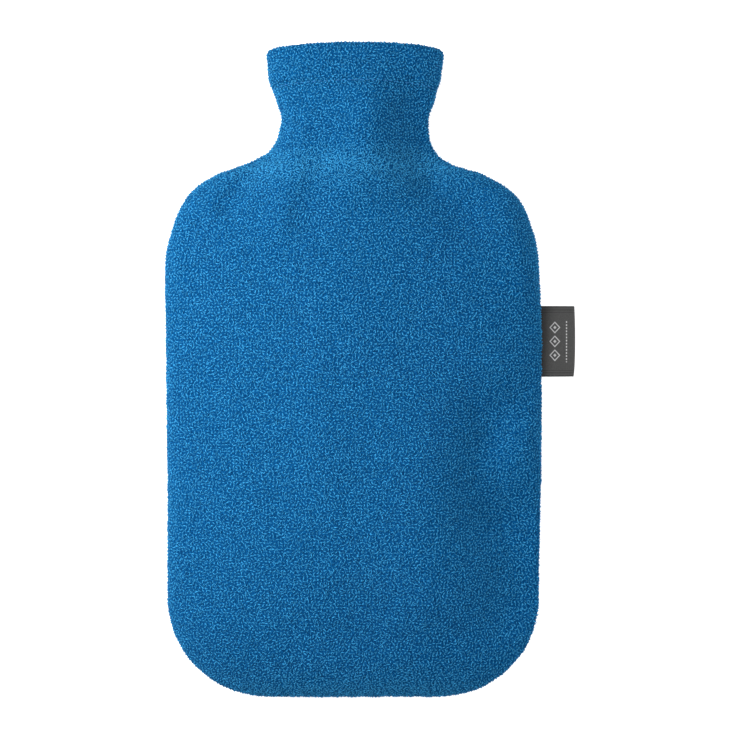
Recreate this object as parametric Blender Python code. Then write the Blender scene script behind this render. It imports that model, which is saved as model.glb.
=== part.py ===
"""Fleece cover for a hot water bottle, in its filled shape, lying on its back.

Two panels are cut from the same fleece, a front and a back. They are sewn together down
both sides and round the bottom, and left open at the neck, where each panel is turned in
as a hem. A tape label, folded into a loop, is caught in the right side seam.

Metres, +Z up. X runs across the cover, Y from its bottom edge towards its neck, and Z from
the surface that its back lies on to its front. The origin is on that surface, on the
cover's centre line and halfway along it. Below, "up" is the height of a point over the
bottom edge, along Y, and "across" runs from -1 at the left seam to 1 at the right seam.
"""

from collections import namedtuple

import bmesh
import bpy
import numpy as np

MM = 0.001

# The cover as a whole
HALF_LENGTH = 168.5 * MM
SEAM_HEIGHT = 23 * MM  # the side seam, over the surface that the back lies on
CORNER_RADIUS = 52 * MM  # of the two bottom corners
CLOTH = 2.2 * MM  # thickness of the fleece
SEAM_GAP = 0.3 * MM  # between the edges of the two panels

# The mouth: its rim stands higher in the middle of a panel than at the seams.
RIM_UP = 330.6 * MM  # where the cloth starts to turn in, at the seams
RIM_RISE = 4.0 * MM
RISE_FROM = 299 * MM  # the neck's waist, below which no part of that rise is left
HEM_DEPTH = 18.6 * MM  # from there to the raw edge of the hem, inside
HEM_GAP = 0.4 * MM  # between a panel and its turned-in hem

# The folded tape label
LABEL_UP = 184.2 * MM  # its middle
LABEL_WIDTH = 36.7 * MM  # the width of the tape, along the seam
LABEL_REACH = 16.6 * MM  # how far the loop stands out of the seam
LABEL_ROOT = 8 * MM  # how far its two ends run in past the seam
TAPE = 1.0 * MM  # thickness of one layer
LOOP_GAP = 0.4 * MM  # between the two layers
LABEL_CLEARANCE = 0.3 * MM  # between the label and the edges of the panels
NOTCH_SLOPE = 3 * MM  # length over which the seam opens to let the label out

# Cross-sections of the cover, in millimetres. lean is how far the middle of the section
# lies to the right of the centre line. crown is the rise of the front over the seam, and
# drop the depth of the back under it. fullness is the exponent of the section's outline:
# 2 is an ellipse, and more is squarer.
Section = namedtuple("Section", "up half_width lean crown drop fullness")
SECTIONS = (
    Section(52.0, 96.8, 0.0, 24.0, 23.0, 2.5),  # top of the bottom corners
    Section(110.0, 97.2, 0.4, 24.5, 23.0, 2.5),
    Section(184.0, 97.8, 0.2, 24.5, 23.0, 2.5),  # the label
    Section(226.0, 97.1, -0.8, 24.0, 23.0, 2.5),  # the shoulders start
    Section(247.0, 92.2, -0.8, 23.0, 22.0, 2.4),
    Section(257.4, 87.0, -0.8, 22.0, 20.6, 2.4),
    Section(264.7, 79.8, -1.3, 21.0, 19.4, 2.3),
    Section(270.9, 69.2, -2.0, 20.0, 18.3, 2.2),
    Section(274.0, 60.0, -2.4, 19.3, 17.8, 2.2),
    Section(277.1, 52.0, -2.2, 18.6, 17.3, 2.1),
    Section(283.3, 43.4, -0.6, 17.4, 16.6, 2.1),  # where a shoulder meets the neck
    Section(290.0, 40.0, 0.1, 16.9, 16.2, 2.1),
    Section(298.9, 38.9, 0.8, 16.6, 16.0, 2.1),  # the neck's waist
    Section(308.2, 41.6, 0.9, 16.9, 16.3, 2.1),
    Section(317.5, 44.6, 0.6, 17.3, 16.7, 2.1),
    Section(330.6, 46.6, 0.8, 17.8, 17.2, 2.1),  # the mouth
)

# How each panel closes: middle is the part of its width that is one even height, end is
# how far from the bottom edge it reaches its full height, and side is +1 above the seam.
Panel = namedtuple("Panel", "side middle end end_fullness creases")

# Soft folds that stand across the neck and shoulders, in millimetres: the height of a
# ridge, or of a valley if it is negative, its half width, and the ends of its line.
Crease = namedtuple("Crease", "height half_width from_x from_up to_x to_up")
FRONT_CREASES = (
    Crease(-3.2, 7.0, 33, 318, 28, 288),  # valley down the right of the neck
    Crease(-3.0, 8.0, 28, 288, 45, 258),  # and on over the right shoulder
    Crease(1.6, 7.0, -33, 292, -52, 252),  # ridge on the left shoulder
    Crease(-1.5, 9.0, -48, 282, -68, 254),  # and the hollow outside it
    Crease(-0.9, 10.0, 10, 212, 40, 150),  # a slack place right of the middle
    Crease(-0.8, 9.0, 70, 84, 46, 40),  # and one over the right bottom corner
)
BACK_CREASES = (
    Crease(-1.2, 7.0, -22, 300, -40, 262),  # the back's folds fall off to the shoulders
    Crease(-1.2, 7.0, 24, 298, 42, 262),
)
FRONT = Panel(1, 0.0, 80 * MM, 2.5, FRONT_CREASES)
BACK = Panel(-1, 0.45, 60 * MM, 2.2, BACK_CREASES)

# Rows of the cloth's net: how many steps lead up to each height. The corners come first, in
# even steps of arc, and the hem repeats the steps of the last stretch.
Stretch = namedtuple("Stretch", "to steps")
CORNER_STEPS = 9
NOTCH_HALF = LABEL_WIDTH / 2 + LABEL_CLEARANCE
HEM_STEPS = 3
STRETCHES = (
    Stretch(LABEL_UP - NOTCH_HALF - NOTCH_SLOPE, 6),
    Stretch(LABEL_UP - NOTCH_HALF, 1),
    Stretch(LABEL_UP + NOTCH_HALF, 2),
    Stretch(LABEL_UP + NOTCH_HALF + NOTCH_SLOPE, 1),
    Stretch(226 * MM, 2),
    Stretch(257.4 * MM, 4),
    Stretch(283.3 * MM, 7),
    Stretch(RIM_UP - HEM_DEPTH, 4),
    Stretch(RIM_UP, HEM_STEPS),
)
ACROSS_STEPS = 24
FOLD_STEPS = 4

FLEECE_BLUE = (0.0103, 0.1413, 0.3564, 1)
TAPE_GREY = (0.075, 0.078, 0.085, 1)


def clear_scene():
    """Removes whatever the file holds, so that the cover stands alone in it."""
    for thing in list(bpy.data.objects):
        bpy.data.objects.remove(thing)


def cloth_material(name, colour, roughness):
    """A plain matt Principled material for a piece of cloth."""
    material = bpy.data.materials.new(name)
    material.use_nodes = True
    shader = material.node_tree.nodes["Principled BSDF"]
    shader.inputs["Base Color"].default_value = colour
    shader.inputs["Roughness"].default_value = roughness
    shader.inputs["Metallic"].default_value = 0.0
    return material


def smooth_between(known, values, at):
    """Runs a smooth curve through the table's values that never overshoots them."""
    known, values = np.asarray(known), np.asarray(values)
    width = np.diff(known)
    slope = np.diff(values) / width
    before, after = slope[:-1], slope[1:]
    same_way = before * after > 0
    mean = np.zeros(len(before))
    mean[same_way] = 2 / (1 / before[same_way] + 1 / after[same_way])
    tangent = np.concatenate(([0.0], mean, [slope[-1]]))
    at = np.clip(at, known[0], known[-1])
    i = np.clip(np.searchsorted(known, at, side="right") - 1, 0, len(width) - 1)
    t = (at - known[i]) / width[i]
    start = (1 + 2 * t) * (1 - t) ** 2 * values[i] + t * (1 - t) ** 2 * width[i] * tangent[i]
    end = t**2 * (3 - 2 * t) * values[i + 1] - t**2 * (1 - t) * width[i] * tangent[i + 1]
    return start + end


def section_value(column, up):
    """One column of the sections' table at any height, in metres or as a bare exponent."""
    heights = [section.up * MM for section in SECTIONS]
    scale = 1 if column == "fullness" else MM
    return smooth_between(heights, [getattr(s, column) * scale for s in SECTIONS], up)


def smooth_step(low, high, value):
    """0 below low, 1 above high, and an S-shaped rise between them."""
    t = np.clip((value - low) / (high - low), 0, 1)
    return t * t * (3 - 2 * t)


def half_width(up):
    """Half the width at a height, with the bottom corners cut round."""
    below = np.clip(CORNER_RADIUS - up, 0, CORNER_RADIUS)
    cut = CORNER_RADIUS - np.sqrt(CORNER_RADIUS**2 - below**2)
    return section_value("half_width", up) - cut


def label_notch(across, up):
    """How far the right edge of a panel stands back from the seam to let the label out."""
    depth = TAPE + LOOP_GAP / 2 + LABEL_CLEARANCE - SEAM_GAP / 2
    beyond = np.abs(up - LABEL_UP) - NOTCH_HALF
    return depth * (1 - smooth_step(0, NOTCH_SLOPE, beyond)) * np.clip(across, 0, 1) ** 8


def crease_height(creases, x, up):
    """Height of all the soft ridges, less the valleys, at a place on a panel."""
    total = np.zeros_like(x)
    for crease in creases:
        start = np.array((crease.from_x, crease.from_up)) * MM
        line = np.array((crease.to_x, crease.to_up)) * MM - start
        along = ((x - start[0]) * line[0] + (up - start[1]) * line[1]) / (line @ line)
        nearest = np.clip(along, 0, 1)
        off_x = x - start[0] - nearest * line[0]
        off_up = up - start[1] - nearest * line[1]
        distance = np.hypot(off_x, off_up) / (crease.half_width * MM)
        total += crease.height * MM * np.exp(-(distance**2))
    return total


def panel_surface(panel, across, up):
    """Points on a panel's outer face, for arrays of across and up."""
    fullness = section_value("fullness", up)
    beyond = np.clip((np.abs(across) - panel.middle) / (1 - panel.middle), 0, 1)
    to_sides = (1 - beyond**fullness) ** (1 / fullness)
    beyond_end = np.clip(1 - up / panel.end, 0, 1)
    to_end = (1 - beyond_end**panel.end_fullness) ** (1 / panel.end_fullness)
    x = section_value("lean", up) + half_width(up) * across
    edge = SEAM_GAP / 2 + label_notch(across, up)
    height = section_value("crown" if panel.side > 0 else "drop", up)
    fold = crease_height(panel.creases, x, up) * to_sides * to_end
    rise = RIM_RISE * smooth_step(RISE_FROM, RIM_UP, up) * to_sides
    y = up - HALF_LENGTH + rise
    z = SEAM_HEIGHT + panel.side * (edge + (height - edge) * to_sides * to_end + fold)
    return np.stack((x, y, z), axis=-1)


def row_heights():
    """The heights of the net's rows, from the bottom edge to the start of the rim's fold."""
    turn = np.linspace(0, np.pi / 2, CORNER_STEPS + 1)
    rows = list(CORNER_RADIUS * (1 - np.cos(turn)))
    for stretch in STRETCHES:
        rows += list(np.linspace(rows[-1], stretch.to, stretch.steps + 1)[1:])
    return np.array(rows)


def outward_normals(panel, points):
    """Each point's direction out of the cover, level with the seam along the net's edges."""
    along_up = np.gradient(points, axis=0)
    along_across = np.gradient(points, axis=1)
    normals = np.cross(along_across, along_up) * panel.side
    for side, column in ((-1, 0), (1, -1)):
        run = along_up[:, column]
        level = np.stack((run[:, 1], -run[:, 0], np.zeros(len(run))), axis=-1)
        normals[:, column] = side * level
    normals[0] = (0, -1, 0)
    return normals / np.linalg.norm(normals, axis=-1, keepdims=True)


def turn_in_hem(points, normals):
    """Adds the rows that run round the rim's fold and down inside the mouth as a hem."""
    radius = CLOTH + HEM_GAP / 2
    rim, out = points[-1], normals[-1]
    onward = points[-1] - points[-2]
    onward -= np.sum(onward * out, axis=-1, keepdims=True) * out
    onward /= np.linalg.norm(onward, axis=-1, keepdims=True)
    rows, facings = list(points), list(normals)
    for turn in np.linspace(0, np.pi, FOLD_STEPS + 1)[1:]:
        facings.append(out * np.cos(turn) + onward * np.sin(turn))
        rows.append(rim + (facings[-1] - out) * radius)
    for step in range(1, HEM_STEPS + 1):
        facings.append(-normals[-1 - step])
        rows.append(points[-1 - step] - 2 * radius * normals[-1 - step])
    return np.array(rows), np.array(facings)


def sheet_faces(rows, columns):
    """Faces of a closed sheet: a net of outer points, the same net inside, and its edges.

    Each cell is cut from its lower left in the left half and from its lower right in the
    right half, so that no triangle lies flat in the seam at the bottom corners.
    """
    inside = rows * columns
    faces = []
    for row in range(rows - 1):
        for column in range(columns - 1):
            here = row * columns + column
            right, above = here + 1, here + columns
            if column < (columns - 1) / 2:
                halves = ((here, right, above + 1), (here, above + 1, above))
            else:
                halves = ((here, right, above), (right, above + 1, above))
            for half in halves:
                faces.append(half)
                faces.append(tuple(inside + corner for corner in reversed(half)))
    edge = list(range(columns))
    edge += [row * columns + columns - 1 for row in range(1, rows)]
    edge += [(rows - 1) * columns + column for column in range(columns - 2, -1, -1)]
    edge += [row * columns for row in range(rows - 2, 0, -1)]
    for here, after in zip(edge, edge[1:] + edge[:1]):
        faces.append((after, here, inside + here, inside + after))
    return faces


def add_object(name, points, faces, material):
    """Makes a smooth-shaded object of a closed mesh, with its faces turned outwards."""
    mesh = bpy.data.meshes.new(name)
    mesh.from_pydata([tuple(point) for point in points], [], faces)
    shape = bmesh.new()
    shape.from_mesh(mesh)
    bmesh.ops.recalc_face_normals(shape, faces=shape.faces)
    shape.to_mesh(mesh)
    shape.free()
    mesh.shade_smooth()
    mesh.set_sharp_from_angle(angle=np.radians(50))
    mesh.materials.append(material)
    thing = bpy.data.objects.new(name, mesh)
    bpy.context.scene.collection.objects.link(thing)
    return thing


def add_panel(name, panel, material):
    """One fleece panel with its turned-in hem, as a closed sheet of even thickness."""
    turns = np.linspace(np.pi, 0, ACROSS_STEPS + 1)
    up, across = np.meshgrid(row_heights(), np.cos(turns), indexing="ij")
    points = panel_surface(panel, across, up)
    points, normals = turn_in_hem(points, outward_normals(panel, points))
    inner = points - CLOTH * normals
    net = np.concatenate((points.reshape(-1, 3), inner.reshape(-1, 3)))
    return add_object(name, net, sheet_faces(*points.shape[:2]), material)


def add_label(material):
    """The tape's loop: two layers and a round fold, seen from its end, drawn out in width."""
    seam_x = float(section_value("lean", LABEL_UP) + section_value("half_width", LABEL_UP))
    outer, inner = TAPE + LOOP_GAP / 2, LOOP_GAP / 2
    root, fold = seam_x - LABEL_ROOT, seam_x + LABEL_REACH - outer
    turns = np.linspace(-np.pi / 2, np.pi / 2, FOLD_STEPS * 2 + 1)
    profile = [(root, -outer)]
    profile += [(fold + outer * np.cos(turn), outer * np.sin(turn)) for turn in turns]
    profile += [(root, outer), (root, inner)]
    profile += [(fold + inner * np.cos(turn), inner * np.sin(turn)) for turn in turns[::-1]]
    profile += [(root, -inner)]
    middle = LABEL_UP - HALF_LENGTH
    ends = (middle - LABEL_WIDTH / 2, middle + LABEL_WIDTH / 2)
    points = [(x, y, SEAM_HEIGHT + z) for y in ends for x, z in profile]
    count = len(profile)
    faces = [tuple(range(count)), tuple(range(2 * count - 1, count - 1, -1))]
    for here in range(count):
        after = (here + 1) % count
        faces.append((here, here + count, after + count, after))
    return add_object("side_label", points, faces, material)


def main():
    """Builds the cover: two panels of one fleece and the label caught in their seam."""
    clear_scene()
    fleece = cloth_material("fleece", FLEECE_BLUE, 0.95)
    tape = cloth_material("label_tape", TAPE_GREY, 0.6)
    add_panel("front_panel", FRONT, fleece)
    add_panel("back_panel", BACK, fleece)
    add_label(tape)


main()
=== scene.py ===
"""Looks of the fleece hot water bottle cover: its cloth, pile, stitching and label."""
from collections import namedtuple
from itertools import product

import bpy
import numpy as np
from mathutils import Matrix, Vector, kdtree


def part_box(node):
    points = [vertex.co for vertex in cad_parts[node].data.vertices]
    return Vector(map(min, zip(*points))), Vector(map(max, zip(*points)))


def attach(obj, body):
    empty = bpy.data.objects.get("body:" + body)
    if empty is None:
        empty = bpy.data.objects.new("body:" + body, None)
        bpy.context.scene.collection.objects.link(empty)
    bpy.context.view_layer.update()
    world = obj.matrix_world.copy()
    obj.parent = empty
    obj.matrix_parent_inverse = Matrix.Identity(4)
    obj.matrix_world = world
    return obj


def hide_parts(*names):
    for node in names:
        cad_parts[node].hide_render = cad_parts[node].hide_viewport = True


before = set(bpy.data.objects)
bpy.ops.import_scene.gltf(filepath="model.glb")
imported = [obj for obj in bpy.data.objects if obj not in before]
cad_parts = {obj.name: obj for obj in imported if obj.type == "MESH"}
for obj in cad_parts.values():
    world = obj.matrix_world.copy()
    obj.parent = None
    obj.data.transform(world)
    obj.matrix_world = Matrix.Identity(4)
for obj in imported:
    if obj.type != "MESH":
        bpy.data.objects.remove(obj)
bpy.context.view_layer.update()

FRONT_LOW, FRONT_HIGH = (np.array(corner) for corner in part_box("front_panel"))
_, BACK_HIGH = (np.array(corner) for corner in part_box("back_panel"))
LABEL_LOW, LABEL_HIGH = (np.array(corner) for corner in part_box("side_label"))

MM = 0.001
BOTTOM_Y = FRONT_LOW[1]
SEAM_GAP = FRONT_LOW[2] - BACK_HIGH[2]
SEAM_HEIGHT = (FRONT_LOW[2] + BACK_HIGH[2]) / 2

# The cloth and its folds, as in the CAD model
CLOTH = 2.2 * MM
HEM_GAP = 0.4 * MM
FOLD_RADIUS = CLOTH + HEM_GAP / 2
RIM_RISE = 4.0 * MM  # of the mouth's middle, over its corners
RISE_FROM = 299 * MM
RIM_LIFT = 0.9 * MM  # more than in the CAD model, as the fleece lies inside its plain form
RIM_UP = FRONT_HIGH[1] - BOTTOM_Y - RIM_RISE - FOLD_RADIUS + RIM_LIFT
HEM_DEPTH = 18.6 * MM
CORNER_RADIUS = 52 * MM

# The fleece's own surface: how far its ground lies inside the plain form, to leave room
# for the pile, and how the seam draws it in
PILE_ROOM = 0.45 * MM
SEAM_DEPTH = 0.9 * MM
SEAM_REACH = 2.2 * MM
LABEL_MIDDLE = (LABEL_LOW[1] + LABEL_HIGH[1]) / 2
LABEL_HOLD = 19.5 * MM
LABEL_PULL = 2.0 * MM  # further in, along the part of the seam that holds the label
PUCKER = 0.3 * MM  # of the cloth, along a line just inside the seam
PUCKER_CELL = 5.0 * MM
PUCKER_AT = 3.0 * MM
PUCKER_REACH = 4.0 * MM

# Its slow swells and small lumps, which start where it is free of the seam, and its nubs
SWELL = 0.55 * MM
SWELL_CELL = 34.0 * MM
LUMP = 0.08 * MM
LUMP_CELL = 13.0 * MM
FREE_FROM = 2.0 * MM
FREE_AT = 16.0 * MM
NUB = 0.06 * MM
NUB_CELL = 2.6 * MM

# The hem: the line that its stitching draws in, and how it puffs out above that line
STITCH_DEPTH = 18.0 * MM  # from the start of the rim's fold down to the stitching
HEM_LINE = 1.5 * MM
HEM_LINE_REACH = 1.5 * MM
HEM_PUFF = 1.1 * MM
HEM_PUFF_REACH = 3.5 * MM
HEM_PUFF_OVER = 5.0 * MM  # from the stitching up to the fullest part
HEM_FADE = 7.0 * MM  # from a seam, over which both start

# The nets of the skins
SKIN_ROWS = 260
SKIN_COLUMNS = 168
FOLD_STEPS = 8
INNER_STEP = 3  # of the outer net's steps, to one step of the inner net
SAMPLES = 4001  # along the lines that are measured to space the nets evenly
CORNER_PARTS = 8  # one part in this many of the samples is in the bottom corners
NET_EDGE_SHARE = 0.8  # how much a step along the seams counts when rows are spaced
MIDDLE_UP = 184 * MM  # the height of the section that columns are spaced over

# The maps that a sheet's colours are kept on: the corners of the part for its outer face
# and of the part for its inner face, and the width of the border that its edge takes
SheetMap = namedtuple("SheetMap", "outer inner border")
SKIN_MAP = SheetMap(((0.010, 0.010), (0.730, 0.990)), ((0.750, 0.010), (0.990, 0.990)), 0.008)
TAPE_MAP = SheetMap(((0.02, 0.02), (0.48, 0.98)), ((0.52, 0.02), (0.98, 0.98)), 0.01)

# How the pile's roots are spread: in rows at first, and then apart from their neighbours
ROW_SHARE = 0.86  # of the spacing, from one row of roots to the next
ROOT_EDGE_SHARE = 0.85  # how much a step along the seam counts when rows are spaced
SETTLE_ROUNDS = 5
SETTLE_NEAR = 6  # neighbours
SETTLE_REACH = 1.2  # of the spacing, within which roots push each other apart
SETTLE_SHARE = 0.25
SETTLE_LEAST = 0.01  # of the spacing, added to each distance so that none is zero
SETTLE_MOST = 2  # the longest push, in distances between the two roots

# The nap: little curled tufts, and the loose fibres that stand out of it. A size that
# varies is given as its least and its most.
TUFT_SPACING = 1.86 * MM
TUFT_LENGTH = (1.3 * MM, 2.3 * MM)
TUFT_WIDTH = (0.55 * MM, 0.80 * MM)
TUFT_HEIGHT = (0.45 * MM, 0.70 * MM)
TUFT_LEAN = 0.15  # of its length, from its root to its top
TUFT_BEND = 0.35 * MM
TUFT_SUNK = 0.14 * MM
TUFT_TAPER = 0.4  # of its width that is lost at its ends
TUFT_END_DROP = 0.8  # of its height that is lost at its ends
TUFT_SIDE_DROP = 0.9  # and at its sides, where as much of its colour is also darkened as painted shade
TUFT_END_DARK = 0.75  # of its colour's lightness that is lost at its ends, as painted shade
TUFT_TOP = 0.75  # the part of its colour that goes by height: painted light on its top and painted shade at its foot; the rest is its own random tone
TUFT_SPOT = 0.4  # half a tuft's size on the map, in cells
FUZZ_SPACING = 2.1 * MM
FUZZ_LENGTH = (1.0 * MM, 2.2 * MM)
FUZZ_WIDTH = (0.14 * MM, 0.24 * MM)
FUZZ_LIFT = (0.35 * MM, 0.65 * MM)
FUZZ_TIP = (0.1 * MM, 1.0 * MM)
FUZZ_BEND = 0.45 * MM
FUZZ_SHAPE = (0.3, 0.5, 0.2)  # half widths at its root, middle and tip, in widths
FUZZ_DARKEST = 0.5  # its least shade
FUZZ_SPOTS = ((0.2, 0.12), (0.8, 0.12), (0.2, 0.5), (0.8, 0.5), (0.2, 0.88), (0.8, 0.88))

# The hem's stitching
STITCH_PITCH = 3.1 * MM
STITCH_LENGTH = 2.5 * MM
THREAD_RADIUS = 0.2 * MM
THREAD_SIDES = 8
THREAD_RINGS = 6
STITCH_ARCH = 1.6  # height of a stitch's middle over its ends, in radii of the thread
STITCH_SUNK = 0.9  # depth of its ends, in radii
STITCH_BLUNT = 8  # the exponent of how its thickness falls off towards its ends
STITCH_TIP = 0.02  # the least square of its thickness there

# The label's tape
TAPE = 0.45 * MM
TAPE_STEPS = (84, 74)  # round the loop, and across its width
TAPE_GAP = 0.2 * MM  # between its two layers in the seam
FOLD_SPREAD = 1.1 * MM  # half the loop's opening, just before its fold
FOLD_START = 4.0 * MM  # from the fold's end, where the loop is open all the way
LABEL_ROOT = 8.0 * MM  # of each end, in past the seam
LABEL_BOW = 0.4 * MM  # of its corners, back from the middle of its fold
LABEL_CORNER = 0.4 * MM  # more, at its lower corner
LABEL_CORNER_CURVE = 6
LABEL_WAVE = 0.35 * MM
LABEL_WAVE_TURN = 2.3  # radians, over half its width
LABEL_WAVE_START = 0.4
LABEL_NARROWING = 0.006  # of its width, at its fold

# Colours, as linear red, green and blue
# The ground's dark colours are painted shade in its crevices, and its light ones the fibre of the
# curls between them.
GROUND_DARK = (0.0002, 0.016, 0.060, 1)
GROUND_DARK_2 = (0.0003, 0.020, 0.070, 1)
GROUND_LIGHT = (0.0020, 0.070, 0.210, 1)
GROUND_LIGHT_2 = (0.0025, 0.080, 0.230, 1)
# The pile's dark colours are painted shade round the tufts' feet and ends, and its light one
# painted light on their tops. Each tuft and loose fibre also takes its own random tone between
# them.
PILE_DARK = (0.0002, 0.014, 0.052, 1)
PILE_DARK_2 = (0.0003, 0.018, 0.062, 1)
PILE_LIGHT = (0.0400, 0.320, 0.630, 1)
SHEEN_BLUE = (0.03, 0.42, 0.95, 1)
THREAD_DARK = (0.0060, 0.085, 0.230, 1)
THREAD_LIGHT = (0.0140, 0.160, 0.400, 1)
TAPE_DARK = (0.016, 0.016, 0.016, 1)
TAPE_LIGHT = (0.044, 0.044, 0.043, 1)
SELVAGE = (0.010, 0.010, 0.010, 1)
MOTIF_THREAD = (0.36, 0.36, 0.36, 1)
WHITE = (1, 1, 1, 1)
PAPER_DARK = (0.50, 0.50, 0.50, 1)
PAPER_LIGHT = (0.52, 0.52, 0.52, 1)

# The grain of the fleece and of its colours
GRAIN = 0.6 * MM
PIT_CELL = 1.3 * GRAIN
PITS = (0.36, 0.60)  # the noise at the bottom of a pit, and at its rim
CURL_HALF = 0.13  # of the noise's range, from a curl's crest to its foot
FLECK = 0.9 * MM
BROAD_CELL = 30 * MM
PATCH_CELL = 9 * MM
THREAD_FLECK = 0.25 * MM
PAPER_CELL = 60 * MM

# The tape's weave and its woven motif, at distances from the tape's ends
PICK_PITCH = 0.55 * MM
END_PITCH = 0.45 * MM
TAPE_FUZZ = 0.5 * MM
SELVAGE_LINES = ((0.5, 0.35), (2.1, 0.30), (3.3, 0.22))  # inset and half width, in mm
ROOT_SHADE = (7.4 * MM, 8.4 * MM)  # where the painted shade on the tape, by the seam, starts and ends
MOTIF_AT = 14.2 * MM
MOTIF_PITCH = 7.2 * MM
MOTIF_HALF_X = 3.0 * MM
MOTIF_HALF_Y = 3.3 * MM
MOTIF_REACH = (1.48 * MOTIF_PITCH, 1.52 * MOTIF_PITCH)  # up and down from the middle
OUTLINE_AT = 0.82  # of a lozenge's half size
OUTLINE = (0.07, 0.15)  # half the outline's width, where it is solid and where it ends
HEART = (0.22, 0.32)  # the same for the solid middle
DASH_AT = 20.2 * MM
DASH_PITCH = 1.6 * MM
DASH = (0.22 * MM, 0.38 * MM)
DASH_ENDS = (-0.35, 0.10)  # the values of the sine between which a dash starts
MOTIF_COVER = 0.85  # how much of the tape the motif's thread hides

# The studio
CAMERA_DISTANCE = 1.2
CAMERA_X = 8.0 * MM
CAMERA_Y = 1.4 * MM
VIEW_WIDTH = 382.3 * MM  # across the picture, at the seam's height
SENSOR_WIDTH = 36
CLIP_END = 10
FLOOR_START = 0.3
FLOOR_REACH = 3.0
COVE = 0.4
COVE_STEPS = 10
FLOOR_SIDES = 96
BACKDROP = 1.2
FLOOR_GLOW = 0.85
WORLD_LIGHT = 0.36
LAMPS = (  # name, place, size and power
    ("key", (-0.32, 0.10, 0.42), (0.4, 0.4), 5.15),
    ("fill", (0.60, 0.0, 0.60), (0.6, 0.6), 3.2),
)

# Cross-sections of the cover, in millimetres above its bottom edge: half_width and lean
# give the seams, crown and drop the front's and the back's middle, and fullness is the
# exponent of the section's outline, where 2 is an ellipse.
Section = namedtuple("Section", "up half_width lean crown drop fullness")
SECTIONS = (
    Section(52.0, 96.8, 0.0, 24.0, 23.0, 2.5),  # top of the bottom corners
    Section(110.0, 97.2, 0.4, 24.5, 23.0, 2.5),
    Section(184.0, 97.8, 0.2, 24.5, 23.0, 2.5),  # the label
    Section(226.0, 97.1, -0.8, 24.0, 23.0, 2.5),  # the shoulders start
    Section(247.0, 92.2, -0.8, 23.0, 22.0, 2.4),
    Section(257.4, 87.0, -0.8, 22.0, 20.6, 2.4),
    Section(264.7, 79.8, -1.3, 21.0, 19.4, 2.3),
    Section(270.9, 69.2, -2.0, 20.0, 18.3, 2.2),
    Section(274.0, 60.0, -2.4, 19.3, 17.8, 2.2),
    Section(277.1, 52.0, -2.2, 18.6, 17.3, 2.1),
    Section(283.3, 43.4, -0.6, 17.4, 16.6, 2.1),  # where a shoulder meets the neck
    Section(290.0, 40.0, 0.1, 16.9, 16.2, 2.1),
    Section(298.9, 38.9, 0.8, 16.6, 16.0, 2.1),  # the neck's waist
    Section(308.2, 41.6, 0.9, 16.9, 16.3, 2.1),
    Section(317.5, 44.6, 0.6, 17.3, 16.7, 2.1),
    Section(330.6, 46.6, 0.8, 17.8, 17.2, 2.1),  # the mouth
)

# Soft folds, in millimetres: the height of a ridge, or of a valley if it is negative, its
# half width, and the ends of its line, as places across and up the cover.
Crease = namedtuple("Crease", "height half_width from_x from_up to_x to_up")
FRONT_CREASES = (
    Crease(3.5, 34.0, -3, 230, -3, 90),  # the body is fullest along its middle
    Crease(5.5, 15.0, 9, 304, 9, 286),  # the neck is fullest a little right of its middle
    Crease(3.2, 20.0, -4, 284, -4, 262),  # and so is the body just below it
    Crease(-9.0, 13.0, 35, 300, 38, 268),  # valley into the right shoulder
    Crease(-6.0, 12.0, 52, 279, 59, 258),  # that is wide on its outer side
    Crease(-3.2, 10.0, 42, 260, 56, 244),  # and out over it
    Crease(-4.8, 6.5, -49, 280, -64, 254),  # sharp hollow on the left shoulder
    Crease(4.4, 10.0, -29, 290, -37, 246),  # and the ridge inside it
    Crease(-8.0, 15.0, 67, 146, 67, 94),  # long trough inside the right edge
    Crease(-17.0, 21.0, 86, 88, 86, 50),  # that is deepest by the corner
    Crease(-4.4, 10.0, 102, 176, 70, 132),  # its start, from beside the label
    Crease(4.6, 20.0, 34, 124, 39, 54),  # and the swell beside it
    Crease(6.5, 12.0, 83, 252, 92, 214),  # full corner under the right shoulder
    Crease(-1.6, 14.0, -80, 235, -78, 60),  # long trough inside the left edge
    Crease(-1.4, 12.0, -25, 34, 50, 30),  # trough along the bottom
    Crease(1.2, 12.0, -20, 170, -14, 95),  # soft swell over the middle
    Crease(0.9, 6.0, -10, 68, 12, 56),  # little folds over the bottom's middle
    Crease(-0.7, 5.0, -6, 58, 16, 48),
    Crease(0.5, 4.0, 8, 80, 22, 72),
)
BACK_CREASES = (
    Crease(-1.2, 7.0, -22, 300, -40, 262),
    Crease(-1.2, 7.0, 24, 298, 42, 262),
)

# How each panel closes: side is +1 above the seam, middle the part of its width that is one
# even height, end how far from the bottom edge it reaches its full height, and
# end_fullness the exponent of its outline up to there.
Panel = namedtuple("Panel", "name side middle end end_fullness creases seed")
FRONT = Panel("front", 1, 0.0, 80 * MM, 2.5, FRONT_CREASES, 3)
BACK = Panel("back", -1, 0.45, 60 * MM, 2.2, BACK_CREASES, 11)


# ---- Shape of the cloth

def smooth_between(known, values, at):
    """Runs a smooth curve through the table's values that never overshoots them."""
    known, values = np.asarray(known), np.asarray(values)
    width = np.diff(known)
    slope = np.diff(values) / width
    before, after = slope[:-1], slope[1:]
    same_way = before * after > 0
    mean = np.zeros(len(before))
    mean[same_way] = 2 / (1 / before[same_way] + 1 / after[same_way])
    tangent = np.concatenate(([0.0], mean, [slope[-1]]))
    at = np.clip(at, known[0], known[-1])
    i = np.clip(np.searchsorted(known, at, side="right") - 1, 0, len(width) - 1)
    t = (at - known[i]) / width[i]
    start = (1 + 2 * t) * (1 - t) ** 2 * values[i] + t * (1 - t) ** 2 * width[i] * tangent[i]
    end = t**2 * (3 - 2 * t) * values[i + 1] - t**2 * (1 - t) * width[i] * tangent[i + 1]
    return start + end


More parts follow.
